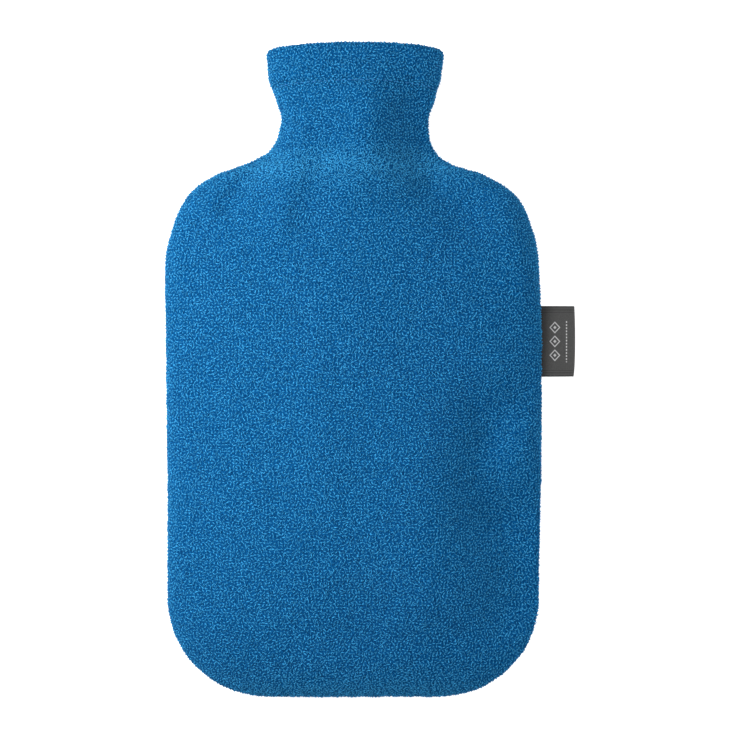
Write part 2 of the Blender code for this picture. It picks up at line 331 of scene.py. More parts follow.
def section_value(column, up):
    """One column of the sections' table at any height, in metres or as a bare exponent."""
    heights = [section.up * MM for section in SECTIONS]
    scale = 1 if column == "fullness" else MM
    return smooth_between(heights, [getattr(s, column) * scale for s in SECTIONS], up)


def smooth_step(low, high, value):
    """0 below low, 1 above high, and an S-shaped rise between them."""
    t = np.clip((value - low) / (high - low), 0, 1)
    return t * t * (3 - 2 * t)


def bell(distance, reach):
    """A rounded bump: 1 at no distance, and nearly nothing at twice the reach."""
    return np.exp(-((distance / reach) ** 2))


def half_width(up):
    """Half the width at a height, with the bottom corners cut round."""
    below = np.clip(CORNER_RADIUS - up, 0, CORNER_RADIUS)
    cut = CORNER_RADIUS - np.sqrt(CORNER_RADIUS**2 - below**2)
    return section_value("half_width", up) - cut


def crease_height(creases, x, up):
    """Height of all the soft ridges, less the valleys, at a place on a panel."""
    total = np.zeros_like(x)
    for crease in creases:
        start = np.array((crease.from_x, crease.from_up)) * MM
        line = np.array((crease.to_x, crease.to_up)) * MM - start
        along = ((x - start[0]) * line[0] + (up - start[1]) * line[1]) / (line @ line)
        nearest = np.clip(along, 0, 1)
        off_x = x - start[0] - nearest * line[0]
        off_up = up - start[1] - nearest * line[1]
        distance = np.hypot(off_x, off_up)
        total += crease.height * MM * bell(distance, crease.half_width * MM)
    return total


def lattice_noise(points, cell, seed):
    """Smooth noise from -1 to 1 through space, with one random value per cell corner."""
    place = points / cell
    corner = np.floor(place).astype(np.int64)
    part = place - corner
    part = part * part * (3 - 2 * part)
    total = np.zeros(points.shape[:-1])
    for step in np.ndindex(2, 2, 2):
        x, y, z = (corner[..., axis] + step[axis] for axis in range(3))
        mixed = (x * 73856093) ^ (y * 19349663) ^ (z * 83492791) ^ (seed * 2654435761)
        mixed = (mixed ^ (mixed >> 13)) * 1274126177 & 0xFFFFFFFF
        value = ((mixed ^ (mixed >> 16)) & 0xFFFF) / 32767.5 - 1
        weight = np.ones(points.shape[:-1])
        for axis in range(3):
            weight *= part[..., axis] if step[axis] else 1 - part[..., axis]
        total += value * weight
    return total


def panel_surface(panel, across, up):
    """Points on a panel's outer face, for arrays of across, from -1 to 1, and up."""
    fullness = section_value("fullness", up)
    beyond = np.clip((np.abs(across) - panel.middle) / (1 - panel.middle), 0, 1)
    to_sides = (1 - beyond**fullness) ** (1 / fullness)
    beyond_end = np.clip(1 - up / panel.end, 0, 1)
    to_end = (1 - beyond_end**panel.end_fullness) ** (1 / panel.end_fullness)
    x = section_value("lean", up) + half_width(up) * across
    edge = SEAM_GAP / 2
    height = section_value("crown" if panel.side > 0 else "drop", up)
    fold = crease_height(panel.creases, x, up) * to_sides * to_end
    rise = RIM_RISE * smooth_step(RISE_FROM, RIM_UP, up) * to_sides
    y = BOTTOM_Y + up + rise
    z = SEAM_HEIGHT + panel.side * (edge + (height - edge) * to_sides * to_end + fold)
    return np.stack((x, y, z), axis=-1)


def unit(vectors):
    """The same directions, each of length 1."""
    return vectors / np.linalg.norm(vectors, axis=-1, keepdims=True)


def outward_normals(panel, points):
    """Each point's direction out of the cover, level with the seam along the net's edges."""
    along_up = np.gradient(points, axis=0)
    along_across = np.gradient(points, axis=1)
    normals = np.cross(along_across, along_up) * panel.side
    for side, column in ((-1, 0), (1, -1)):
        run = along_up[:, column]
        level = np.stack((run[:, 1], -run[:, 0], np.zeros(len(run))), axis=-1)
        normals[:, column] = side * level
    normals[0] = (0, -1, 0)
    return unit(normals)


def step_lengths(points, axis=0):
    """The distance from each point to the next one along an axis of the net."""
    return np.linalg.norm(np.diff(points, axis=axis), axis=-1)


def run_of(lengths):
    """How far along a line each of its points is, from the lengths of its steps."""
    return np.concatenate(([0.0], np.cumsum(lengths)))


def even_places(points, steps):
    """Where to cut a line of points so that its pieces are all as long, as shares of it."""
    run = run_of(step_lengths(points))
    return np.interp(np.linspace(0, run[-1], steps + 1), run, np.linspace(0, 1, len(run)))


def even_rows(panel, steps):
    """Heights whose rows are evenly spaced over the panel's curved surface."""
    part = np.linspace(0, CORNER_PARTS, SAMPLES)
    corner = CORNER_RADIUS * (1 - np.cos(np.pi / 2 * np.clip(part, 0, 1)))
    over_corner = np.clip((part - 1) / (CORNER_PARTS - 1), 0, 1)
    rest = CORNER_RADIUS + (RIM_UP - CORNER_RADIUS) * over_corner
    heights = np.where(part < 1, corner, rest)
    middle = panel_surface(panel, np.zeros_like(heights), heights)
    edge = panel_surface(panel, np.ones_like(heights), heights)
    run = run_of(np.maximum(step_lengths(middle), NET_EDGE_SHARE * step_lengths(edge)))
    return np.interp(np.linspace(0, run[-1], steps + 1), run, heights)


def even_columns(panel, steps):
    """Places across, evenly spaced over the section through the cover's middle."""
    across = np.cos(np.linspace(np.pi, 0, SAMPLES))
    line = panel_surface(panel, across, np.full_like(across, MIDDLE_UP))
    return np.cos(np.pi * (1 - even_places(line, steps)))


def turn_in_hem(points, normals):
    """Adds the rows that run round the rim's fold and down inside the mouth as a hem."""
    rim, out = points[-1], normals[-1]
    onward = points[-1] - points[-2]
    onward -= np.sum(onward * out, axis=-1, keepdims=True) * out
    onward = unit(onward)
    rows, facings = list(points), list(normals)
    for turn in np.linspace(0, np.pi, FOLD_STEPS + 1)[1:]:
        facings.append(out * np.cos(turn) + onward * np.sin(turn))
        rows.append(rim + (facings[-1] - out) * FOLD_RADIUS)
    hem_rows = int(np.sum(points[:, 0, 1] > points[-1, 0, 1] - HEM_DEPTH))
    for step in range(1, hem_rows):
        facings.append(-normals[-1 - step])
        rows.append(points[-1 - step] - 2 * FOLD_RADIUS * normals[-1 - step])
    return np.array(rows), np.array(facings)


def from_seam(points):
    """Each point's distance over the cloth to the nearest seam, and that seam's point."""
    run = step_lengths(points, axis=1).cumsum(axis=1)
    from_left = np.concatenate((np.zeros((len(points), 1)), run), axis=1)
    from_right = from_left[:, -1:] - from_left
    rise = step_lengths(points).cumsum(axis=0)
    from_bottom = np.concatenate((np.zeros((1, points.shape[1])), rise))
    choices = np.stack((from_left, from_right, from_bottom))
    nearest = choices.argmin(axis=0)[..., None]
    left = np.broadcast_to(points[:, :1], points.shape)
    right = np.broadcast_to(points[:, -1:], points.shape)
    bottom = np.broadcast_to(points[:1], points.shape)
    seam = np.where(nearest == 0, left, np.where(nearest == 1, right, bottom))
    return choices.min(axis=0), seam


def cloth_relief(panel, points, rows):
    """How far the fleece stands out of the panel's plain form: its seams, hem and lumps."""
    edge, seam = from_seam(points)
    free = smooth_step(FREE_FROM, FREE_AT, edge)
    by_label = np.exp(-(((points[..., 1] - LABEL_MIDDLE) / LABEL_HOLD) ** 8))
    depth = SEAM_DEPTH + LABEL_PULL * by_label * (points[..., 0] > 0)
    height = -PILE_ROOM - depth * bell(edge, SEAM_REACH)
    pucker = lattice_noise(seam, PUCKER_CELL, panel.seed)
    height += PUCKER * pucker * bell(edge - PUCKER_AT, PUCKER_REACH)
    height += SWELL * lattice_noise(points, SWELL_CELL, panel.seed + 1) * free
    height += LUMP * lattice_noise(points, LUMP_CELL, panel.seed + 2) * free
    height += NUB * lattice_noise(points, NUB_CELL, panel.seed + 3)
    above_stitching = STITCH_DEPTH - (points[rows, :, 1] - points[..., 1])
    line = HEM_LINE * bell(above_stitching, HEM_LINE_REACH)
    puff = HEM_PUFF * bell(above_stitching - HEM_PUFF_OVER, HEM_PUFF_REACH)
    outside = (np.arange(len(points)) <= rows)[:, None]
    return height + outside * smooth_step(0, HEM_FADE, edge) * (puff - line)


# ---- Meshes

def net_triangles(rows, columns, side):
    """The triangles of a net of points, facing out of the cover."""
    place = np.arange(rows * columns).reshape(rows, columns)
    here, right = place[:-1, :-1].ravel(), place[:-1, 1:].ravel()
    above, across = place[1:, :-1].ravel(), place[1:, 1:].ravel()
    halves = ((here, right, across), (here, across, above))
    triangles = np.concatenate([np.stack(half, axis=1) for half in halves])
    return triangles if side > 0 else triangles[:, ::-1]


def edge_loop(row_places, column_places):
    """The places round a net's edge, from its first corner, along the bottom edge first."""
    first_row, last_row = row_places[0], row_places[-1]
    first_column, last_column = column_places[0], column_places[-1]
    loop = [(first_row, column) for column in column_places[:-1]]
    loop += [(row, last_column) for row in row_places[:-1]]
    loop += [(last_row, column) for column in column_places[:0:-1]]
    return loop + [(row, first_column) for row in row_places[:0:-1]]


def edge_strip(rows, columns, inner_rows, inner_columns, side):
    """Triangles that join the fine outer net's edge to the coarse inner net's."""
    start = rows * columns
    row_of = {row: i for i, row in enumerate(inner_rows)}
    column_of = {column: i for i, column in enumerate(inner_columns)}
    fine = edge_loop(range(rows), range(columns))
    coarse = set(edge_loop(inner_rows, inner_columns))
    triangles, pending = [], []
    base = None
    for row, column in fine + fine[:1]:
        outer = row * columns + column
        pending.append(outer)
        if (row, column) not in coarse:
            continue
        inner = start + row_of[row] * len(inner_columns) + column_of[column]
        if base is not None:
            triangles += [(base, after, here) for here, after in zip(pending, pending[1:])]
            triangles.append((base, inner, outer))
        base, pending = inner, [outer]
    triangles = np.array(triangles)
    return triangles if side > 0 else triangles[:, ::-1]


def coarse_steps(count):
    """The inner net's places, as steps of the outer net, with its last one."""
    return list(range(0, count - 1, INNER_STEP)) + [count - 1]


def add_piece(name, points, triangles, material):
    """Makes a smooth-shaded object of a mesh of triangles, which rides on the cover."""
    mesh = bpy.data.meshes.new(name)
    mesh.vertices.add(len(points))
    mesh.vertices.foreach_set("co", np.asarray(points, np.float32).ravel())
    mesh.loops.add(triangles.size)
    mesh.loops.foreach_set("vertex_index", np.asarray(triangles, np.int32).ravel())
    mesh.polygons.add(len(triangles))
    mesh.polygons.foreach_set("loop_start", np.arange(0, triangles.size, 3, dtype=np.int32))
    mesh.update(calc_edges=True)
    mesh.shade_smooth()
    mesh.materials.append(material)
    piece = bpy.data.objects.new(name, mesh)
    bpy.context.scene.collection.objects.link(piece)
    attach(piece, "root")
    return piece


def lay_out(piece, corner_places):
    """Gives each corner of the piece's faces its place on the map that colours are kept on."""
    layer = piece.data.uv_layers.new(name="OFBake")
    layer.data.foreach_set("uv", np.asarray(corner_places, np.float32).ravel())


def between(limits, share):
    """Values from the first to the second limit."""
    return limits[0] + (limits[1] - limits[0]) * share


def add_sheet(name, outer, inner, kept, side, sheet_map, material):
    """A closed sheet of cloth: a net for each face, and a strip that joins their edges. The
    inner net has only the kept rows and columns of the outer net."""
    rows, columns = outer.shape[:2]
    inner_rows, inner_columns = kept
    outside = net_triangles(rows, columns, side)
    inside = net_triangles(len(inner_rows), len(inner_columns), -side) + rows * columns
    strip = edge_strip(rows, columns, inner_rows, inner_columns, side)
    points = np.concatenate((outer.reshape(-1, 3), inner.reshape(-1, 3)))
    piece = add_piece(name, points, np.concatenate((outside, inside, strip)), material)

    # The map: the outer net on the left, with the strip as a border round it, and the
    # inner net on the right.
    down, along = np.meshgrid(np.arange(rows), np.arange(columns), indexing="ij")
    fine = np.stack((along / (columns - 1), down / (rows - 1)), axis=-1)
    coarse = fine[np.ix_(inner_rows, inner_columns)].reshape(-1, 2)
    on_left = between(np.array(sheet_map.outer), fine.reshape(-1, 2))
    on_right = between(np.array(sheet_map.inner), coarse)
    border = between(np.array(sheet_map.outer), coarse)
    border += np.trunc(coarse * 2 - 1) * sheet_map.border
    faces_map = [np.concatenate((on_left, on_right))[np.concatenate((outside, inside))]]
    faces_map.append(np.concatenate((on_left, border))[strip])
    lay_out(piece, np.concatenate(faces_map))
    return piece


def add_skin(name, panel, material):
    """One fleece panel with its hem: a closed sheet, fine outside and coarse inside."""
    heights, places = even_rows(panel, SKIN_ROWS), even_columns(panel, SKIN_COLUMNS)
    up, across = np.meshgrid(heights, places, indexing="ij")
    plain = panel_surface(panel, across, up)
    base, facings = turn_in_hem(plain, outward_normals(panel, plain))
    height = cloth_relief(panel, base, SKIN_ROWS)
    outer = base + height[..., None] * facings
    kept = [coarse_steps(count) for count in outer.shape[:2]]
    inner = (base - CLOTH * facings)[np.ix_(*kept)]
    piece = add_sheet(name, outer, inner, kept, panel.side, SKIN_MAP, material)
    return piece, outer, facings


def on_net(net, place):
    """The net's value at each row and column, and how it changes from row to row and from
    column to column there. Places may be part-way between the net's own."""
    low = np.minimum(place.astype(int), np.array(net.shape[:2]) - 2)
    row, column = np.split(place - low, 2, axis=1)
    near, right = net[low[:, 0], low[:, 1]], net[low[:, 0], low[:, 1] + 1]
    above, across = net[low[:, 0] + 1, low[:, 1]], net[low[:, 0] + 1, low[:, 1] + 1]
    by_row = (above - near) * (1 - column) + (across - right) * column
    by_column = (right - near) * (1 - row) + (across - above) * row
    return near + (above - near) * row + by_column * column, by_row, by_column


def first_places(ground, spacing, random):
    """Places on a panel's net, at random within rows of cells that are all one size."""
    step = step_lengths(ground)
    step = np.maximum(step[:, step.shape[1] // 2], ROOT_EDGE_SHARE * step[:, 0])
    run = run_of(step)
    places = []
    for at_run in np.arange(spacing / 2, run[-1], spacing * ROW_SHARE):
        row = np.interp(at_run, run, np.arange(len(run)))
        length = run_of(step_lengths(ground[int(round(row))]))
        count = int(length[-1] / spacing)
        at = (np.arange(count) + random.random(count)) * length[-1] / count
        column = np.interp(at, length, np.arange(len(length)))
        rows = row + (random.random(count) - 0.5) * spacing * ROW_SHARE / step[int(row)]
        places.append(np.stack((rows, column), axis=1))
    return np.clip(np.concatenate(places), 0, np.array(ground.shape[:2]) - 1)


def scatter(ground, facings, spacing, random):
    """Roots spread evenly over a panel but in no rows, as near neighbours push each other
    apart, with each one's outward and level directions."""
    place = first_places(ground, spacing, random)
    last = np.array(ground.shape[:2]) - 1
    for _ in range(SETTLE_ROUNDS):
        points, by_row, by_column = on_net(ground, place)
        tree = kdtree.KDTree(len(points))
        for i, point in enumerate(points.tolist()):
            tree.insert(point, i)
        tree.balance()
        found = [tree.find_n(point, SETTLE_NEAR + 1)[1:] for point in points.tolist()]
        near = np.array([[index for _, index, _ in others] for others in found])
        apart = points[:, None] - points[near]
        distance = np.linalg.norm(apart, axis=-1, keepdims=True) + SETTLE_LEAST * spacing
        share = np.clip(SETTLE_REACH * spacing / distance - 1, 0, SETTLE_MOST)
        push = SETTLE_SHARE * (apart * share).sum(axis=1)
        up = np.sum(push * by_row, axis=1) / np.sum(by_row**2, axis=1)
        over = np.sum(push * by_column, axis=1) / np.sum(by_column**2, axis=1)
        place = np.clip(place + np.stack((up, over), axis=1), 0, last)
    root, _, level = on_net(ground, place)
    out = unit(on_net(facings, place)[0])
    level -= np.sum(level * out, axis=1, keepdims=True) * out
    return root, out, unit(level)


def headings(out, level, random):
    """A random direction along the cloth at each root, and the one beside it."""
    turn = 2 * np.pi * random.random((len(out), 1))
    ahead = level * np.cos(turn) + np.cross(out, level) * np.sin(turn)
    return ahead, np.cross(out, ahead)


def add_scattered(name, stations, spots, pattern, shades, material):
    """One mesh of many like shapes. Each has its points in stations, which are arrays with
    a row for each shape, its places on the map in spots, and its triangles in pattern."""
    points = np.stack(stations, axis=1)
    count, corners = points.shape[:2]
    starts = np.arange(count)[:, None, None] * corners
    triangles = (starts + np.array(pattern)).reshape(-1, 3)
    piece = add_piece(name, points.reshape(-1, 3), triangles, material)
    shade = piece.data.attributes.new("shade", "FLOAT", "POINT")
    shade.data.foreach_set("value", np.asarray(shades, np.float32).ravel())
    per_row = int(np.ceil(np.sqrt(count)))
    place = np.stack(np.divmod(np.arange(count), per_row)[::-1], axis=-1)
    on_map = (place[:, None, :] + np.array(spots)) / per_row
    lay_out(piece, on_map.reshape(-1, 2)[triangles])
    return piece


def add_nap(name, panel, ground, facings, material):
    """The fleece's nap: small curled tufts, close together all over a panel."""
    random = np.random.default_rng(panel.seed)
    root, out, level = scatter(ground, facings, TUFT_SPACING, random)
    ahead, beside = headings(out, level, random)
    length, width, height, bend, light = random.random((5, len(root), 1))
    length, width = between(TUFT_LENGTH, length), between(TUFT_WIDTH, width)
    height, bend = between(TUFT_HEIGHT, height), TUFT_BEND * (2 * bend - 1)
    stations, spots, shades = [], [], []
    for i, j in product((-1, 0, 1), repeat=2):
        at_end, at_side = i * i, j * j
        along = length * (i / 2 + TUFT_LEAN * (1 - at_end) * (1 - at_side))
        sideways = width / 2 * j * (1 - TUFT_TAPER * at_end) + bend * (1 - at_end)
        rise = height * (1 - TUFT_END_DROP * at_end) * (1 - TUFT_SIDE_DROP * at_side)
        rise = rise - TUFT_SUNK * max(at_end, at_side)
        stations.append(root + ahead * along + beside * sideways + out * rise)
        spots.append((0.5 + TUFT_SPOT * i, 0.5 + TUFT_SPOT * j))
        # The tuft's colour: painted light on its top and painted shade at its ends and sides,
        # mixed with its own random tone.
        top = (1 - TUFT_END_DARK * at_end) * (1 - TUFT_SIDE_DROP * at_side)
        shades.append(TUFT_TOP * top + (1 - TUFT_TOP) * light)
    pattern = []
    for here in (0, 1, 3, 4):
        pattern += [(here, here + 3, here + 4), (here, here + 4, here + 1)]
    return add_scattered(name, stations, spots, pattern, np.concatenate(shades, axis=1), material)


def add_fuzz(name, panel, ground, facings, material):
    """Loose fibres that stand out of the nap, as thin bent ribbons."""
    random = np.random.default_rng(panel.seed + 1)
    root, out, level = scatter(ground, facings, FUZZ_SPACING, random)
    ahead, beside = headings(out, level, random)
    length, width, lift, tip, bend, light = random.random((6, len(root), 1))
    length, width = between(FUZZ_LENGTH, length), between(FUZZ_WIDTH, width)
    lift, tip = between(FUZZ_LIFT, lift), between(FUZZ_TIP, tip**2)
    bend = FUZZ_BEND * (2 * bend - 1)
    middle = root + ahead * length / 2 + beside * bend + out * lift
    end = root + ahead * length + out * tip
    stations = []
    for line, half in zip((root, middle, end), FUZZ_SHAPE):
        stations += [line + beside * width * half * way for way in (-1, 1)]
    pattern = ((0, 2, 3), (0, 3, 1), (2, 4, 5), (2, 5, 3))
    shades = np.repeat(between((FUZZ_DARKEST, 1), light), len(stations), axis=1)
    return add_scattered(name, stations, FUZZ_SPOTS, pattern, shades, material)


def stitch_line(ground, facings):
    """The line on a panel's ground, from seam to seam, that the hem's stitching follows."""
    below_rim = ground[SKIN_ROWS, :, 1] - ground[: SKIN_ROWS + 1, :, 1]
    line, out = [], []
    for column in range(ground.shape[1]):
        depths = below_rim[::-1, column]
        row = SKIN_ROWS - np.interp(STITCH_DEPTH, depths, np.arange(len(depths)))
        low = int(row)
        line.append(between(ground[low : low + 2, column], row - low))
        out.append(facings[low, column])
    return np.array(line), np.array(out)


def values_along(line, run, at):
    """A line's values at some distances along it."""
    return np.stack([np.interp(at, run, line[:, axis]) for axis in range(3)], axis=-1)


def stitch_rings(line, out, run, start):
    """The rings of points round one stitch, which arches over the cloth."""
    along = np.linspace(0, 1, THREAD_RINGS + 1)
    at = start + along * STITCH_LENGTH
    up = unit(values_along(out, run, at))
    arch = np.sin(np.pi * along)[:, None]
    lift = THREAD_RADIUS * (STITCH_ARCH * arch - STITCH_SUNK)
    middle = values_along(line, run, at) + up * lift
    beside = np.cross(up, unit(middle[-1] - middle[0]))
    thick = np.sqrt(np.clip(1 - (2 * along - 1) ** STITCH_BLUNT, STITCH_TIP, 1))
    turns = np.linspace(0, 2 * np.pi, THREAD_SIDES, endpoint=False)[:, None, None]
    rings = middle + THREAD_RADIUS * thick[:, None] * (np.cos(turns) * beside + np.sin(turns) * up)
    return rings.transpose(1, 0, 2).reshape(-1, 3)


def stitch_triangles():
    """The triangles of one stitch: its sides, and a fan over each end."""
    triangles = []
    for ring in range(THREAD_RINGS):
        for side in range(THREAD_SIDES):
            a = ring * THREAD_SIDES + side
            b = ring * THREAD_SIDES + (side + 1) % THREAD_SIDES
            triangles += [(a, b, b + THREAD_SIDES), (a, b + THREAD_SIDES, a + THREAD_SIDES)]
    last = THREAD_RINGS * THREAD_SIDES
    for side in range(1, THREAD_SIDES - 1):
        triangles.append((0, side + 1, side))
        triangles.append((last, last + side, last + side + 1))
    return np.array(triangles)


def add_stitches(name, lines, material):
    """A row of straight stitches along the hem of each panel, as one mesh."""
    stitches = []
    for line, out in lines:
        run = run_of(step_lengths(line))
        for start in np.arange(STITCH_PITCH / 2, run[-1] - STITCH_LENGTH, STITCH_PITCH):
            stitches.append(stitch_rings(line, out, run, start))
    starts = np.arange(len(stitches))[:, None, None] * len(stitches[0])
    triangles = (starts + stitch_triangles()).reshape(-1, 3)
    return add_piece(name, np.concatenate(stitches), triangles, material)


def add_tape(name, material):
    """The label: one length of thin tape, folded into a soft loop with its ends in the seam."""
    root, reach = LABEL_LOW[0], LABEL_HIGH[0]
    straight = reach - root - FOLD_SPREAD
    run = straight * 2 + np.pi * FOLD_SPREAD
    at = np.linspace(0, run, TAPE_STEPS[0] + 1)
    turn = (at - straight) / FOLD_SPREAD - np.pi / 2
    turn = np.clip(turn, -np.pi / 2, np.pi / 2)
    x = np.where(at < straight, root + at, reach - FOLD_SPREAD)
    x = np.where(at > run - straight, root + run - at, x)
    bulge = np.cos(turn) * FOLD_SPREAD * (np.abs(at - run / 2) < run / 2 - straight)
    x = x + bulge
    open_share = smooth_step(root + LABEL_ROOT, reach - FOLD_START, x)
    z = between(((TAPE + TAPE_GAP) / 2, FOLD_SPREAD), open_share) * np.sin(turn)
    across = np.linspace(-1, 1, TAPE_STEPS[1] + 1)
    middle = (LABEL_LOW + LABEL_HIGH) / 2
    half = (LABEL_HIGH[1] - LABEL_LOW[1]) / 2
    out_share = np.clip((x - root - LABEL_ROOT) / (reach - root - LABEL_ROOT), 0, 1)[:, None]
    bow = LABEL_BOW * across**2 + LABEL_CORNER * np.clip(-across, 0, 1) ** LABEL_CORNER_CURVE
    sway = LABEL_WAVE * np.sin(LABEL_WAVE_TURN * across + LABEL_WAVE_START)
    sheet_x = x[:, None] - bow * out_share
    sheet_y = middle[1] + half * across * (1 - LABEL_NARROWING * out_share)
    sheet_z = middle[2] + z[:, None] + sway * out_share
    points = np.stack(np.broadcast_arrays(sheet_x, sheet_y, sheet_z), axis=-1)
    facings = unit(np.cross(np.gradient(points, axis=0), np.gradient(points, axis=1)))
    outer, inner = points + facings * TAPE / 2, points - facings * TAPE / 2
    kept = [range(count) for count in points.shape[:2]]
    piece = add_sheet(name, outer, inner, kept, -1, TAPE_MAP, material)
    return piece, run, 2 * half


# ---- Materials

def node(tree, kind, inputs=None, **settings):
    """Adds a shader node. An input's value is a number, a colour or another node's output."""
    made = tree.nodes.new(kind)
    for name, value in settings.items():
        setattr(made, name, value)
    for name, value in (inputs or {}).items():
        if isinstance(value, bpy.types.NodeSocket):
            tree.links.new(value, made.inputs[name])
        else:
            made.inputs[name].default_value = value
    return made


def maths(tree, operation, *values):
    """The result of a Math node on one, two or three values."""
    return node(tree, "ShaderNodeMath", dict(enumerate(values)), operation=operation).outputs[0]


def away(tree, value, at):
    """How far a value is from another, either way."""
    return maths(tree, "ABSOLUTE", maths(tree, "SUBTRACT", value, at))


def wave(tree, value, pitch):
    """A sine wave along a value."""
    return maths(tree, "SINE", maths(tree, "MULTIPLY", value, 2 * np.pi / pitch))


def weigh(tree, first, first_weight, second, second_weight):
    """The sum of two values, each times its weight."""
    second = maths(tree, "MULTIPLY", second, second_weight)
    return maths(tree, "MULTIPLY_ADD", first, first_weight, second)


def ramp(tree, value, low, high, to_low=0.0, to_high=1.0):
    """A smooth step from to_low to to_high as the value goes from low to high."""
    inputs = {"Value": value, "From Min": low, "From Max": high}
    inputs.update({"To Min": to_low, "To Max": to_high})
    return node(tree, "ShaderNodeMapRange", inputs, interpolation_type="SMOOTHSTEP").outputs[0]


def fade(tree, value, low, high):
    """A smooth step from 1 down to 0 as the value goes from low to high."""
    return ramp(tree, value, low, high, 1.0, 0.0)


def noise(tree, place, cell, detail=0.0, distortion=0.0):
    """Noise with lumps about one cell across, in metres."""
    inputs = {"Vector": place, "Scale": 1 / cell, "Detail": detail, "Distortion": distortion}
    return node(tree, "ShaderNodeTexNoise", inputs).outputs["Fac"]


def blend_colours(tree, share, low, high):
    """A colour between two others. Each is a colour or another node's output."""
    mixed = node(tree, "ShaderNodeMix", data_type="RGBA")
    for index, value in ((0, share), (6, low), (7, high)):
        if isinstance(value, bpy.types.NodeSocket):
            tree.links.new(value, mixed.inputs[index])
        else:
            mixed.inputs[index].default_value = value
    return mixed.outputs[2]


def new_material(name, roughness, specular, sheen=0.0, sheen_roughness=0.5, tint=WHITE):
    """A Principled material whose even values are set on the shader. Returns its tree too."""
    material = bpy.data.materials.new(name)
    material.use_nodes = True
    tree = material.node_tree
    shader = tree.nodes["Principled BSDF"]
    values = {
        "Roughness": roughness,
        "Specular IOR Level": specular,
        "Sheen Weight": sheen,
        "Sheen Roughness": sheen_roughness,
        "Sheen Tint": tint,
    }
    for socket, value in values.items():
        shader.inputs[socket].default_value = value
    return material, tree, shader


def add_bump(tree, shader, height, strength, distance):
    """Shades the surface as if it were raised where the height is high."""
    inputs = {"Strength": strength, "Distance": distance, "Height": height}
    bump = node(tree, "ShaderNodeBump", inputs).outputs["Normal"]
    tree.links.new(bump, shader.inputs["Normal"])


def own_place(tree):
    """Each point's place in metres, which the patterns go by."""
    return node(tree, "ShaderNodeTexCoord").outputs["Object"]


def slow_mottling(tree, place):
    """A share that drifts slowly and at random over the cloth."""
    broad = noise(tree, place, BROAD_CELL, detail=2.0)
    patchy = noise(tree, place, PATCH_CELL, detail=1.0)
    return weigh(tree, patchy, 0.4, broad, 0.6)


def fleece_ground_material():
    """The fleece between its tufts: curls of fibre over crevices, in grains. Its colour darkens
    into the crevices as painted shade.
    """
    look = dict(roughness=0.95, specular=0.03, sheen=0.25, sheen_roughness=0.45)
    material, tree, shader = new_material("fleece_ground", tint=SHEEN_BLUE, **look)
    place = own_place(tree)
    curl = noise(tree, place, GRAIN, detail=1.5, distortion=0.8)
    ridge = fade(tree, away(tree, curl, 0.5), 0.0, CURL_HALF)
    pits = ramp(tree, noise(tree, place, PIT_CELL, detail=1.0), *PITS)
    height = weigh(tree, ridge, 0.55, pits, 0.45)
    low = blend_colours(tree, slow_mottling(tree, place), GROUND_DARK, GROUND_DARK_2)
    high = blend_colours(tree, slow_mottling(tree, place), GROUND_LIGHT, GROUND_LIGHT_2)
    # Painted shade: dark in the crevices, and the fibre's own lighter blue on the curls.
    tree.links.new(blend_colours(tree, height, low, high), shader.inputs["Base Color"])
    add_bump(tree, shader, height, strength=0.55, distance=0.35 * MM)
    return material


def fleece_pile_material():
    """The tufts and loose fibres: each one has its own random tone, and each tuft has painted
    shade round its foot and painted light on its top.
    """
    look = dict(roughness=0.9, specular=0.05, sheen=0.55, sheen_roughness=0.3)
    material, tree, shader = new_material("fleece_pile", tint=SHEEN_BLUE, **look)
    place = own_place(tree)
    own = node(tree, "ShaderNodeAttribute", attribute_name="shade").outputs["Fac"]
    fleck = noise(tree, place, FLECK)
    share = ramp(tree, weigh(tree, own, 0.7, fleck, 0.3), 0.1, 0.95)
    low = blend_colours(tree, slow_mottling(tree, place), PILE_DARK, PILE_DARK_2)
    tree.links.new(blend_colours(tree, share, low, PILE_LIGHT), shader.inputs["Base Color"])
    add_bump(tree, shader, fleck, strength=0.3, distance=0.1 * MM)
    return material


def thread_material():
    """Blue sewing thread with the twist of its plies."""
    look = dict(roughness=0.6, specular=0.3, sheen=0.1, sheen_roughness=0.4)
    material, tree, shader = new_material("sewing_thread", tint=SHEEN_BLUE, **look)
    fleck = noise(tree, own_place(tree), THREAD_FLECK, detail=1.0)
    colour = blend_colours(tree, fleck, THREAD_DARK, THREAD_LIGHT)
    tree.links.new(colour, shader.inputs["Base Color"])
    add_bump(tree, shader, fleck, strength=0.5, distance=0.06 * MM)
    return material


def tape_motif(tree, x, up, off):
    """Where the motif's thread is: a row of lozenges up the tape, each one an even outline
    round a solid middle, and a line of dashes beside them."""
    row = maths(tree, "ROUND", maths(tree, "DIVIDE", up, MOTIF_PITCH))
    from_row = maths(tree, "SUBTRACT", up, maths(tree, "MULTIPLY", row, MOTIF_PITCH))
    over, along = away(tree, x, LABEL_LOW[0] + MOTIF_AT), maths(tree, "ABSOLUTE", from_row)
    far = weigh(tree, over, 1 / MOTIF_HALF_X, along, 1 / MOTIF_HALF_Y)
    outline = fade(tree, away(tree, far, OUTLINE_AT), *OUTLINE)
    lozenge = maths(tree, "MAXIMUM", outline, fade(tree, far, *HEART))
    line = fade(tree, away(tree, x, LABEL_LOW[0] + DASH_AT), *DASH)
    dashes = ramp(tree, wave(tree, up, DASH_PITCH), *DASH_ENDS)
    motif = maths(tree, "MAXIMUM", lozenge, maths(tree, "MULTIPLY", line, dashes))
    return maths(tree, "MULTIPLY", motif, fade(tree, off, *MOTIF_REACH))


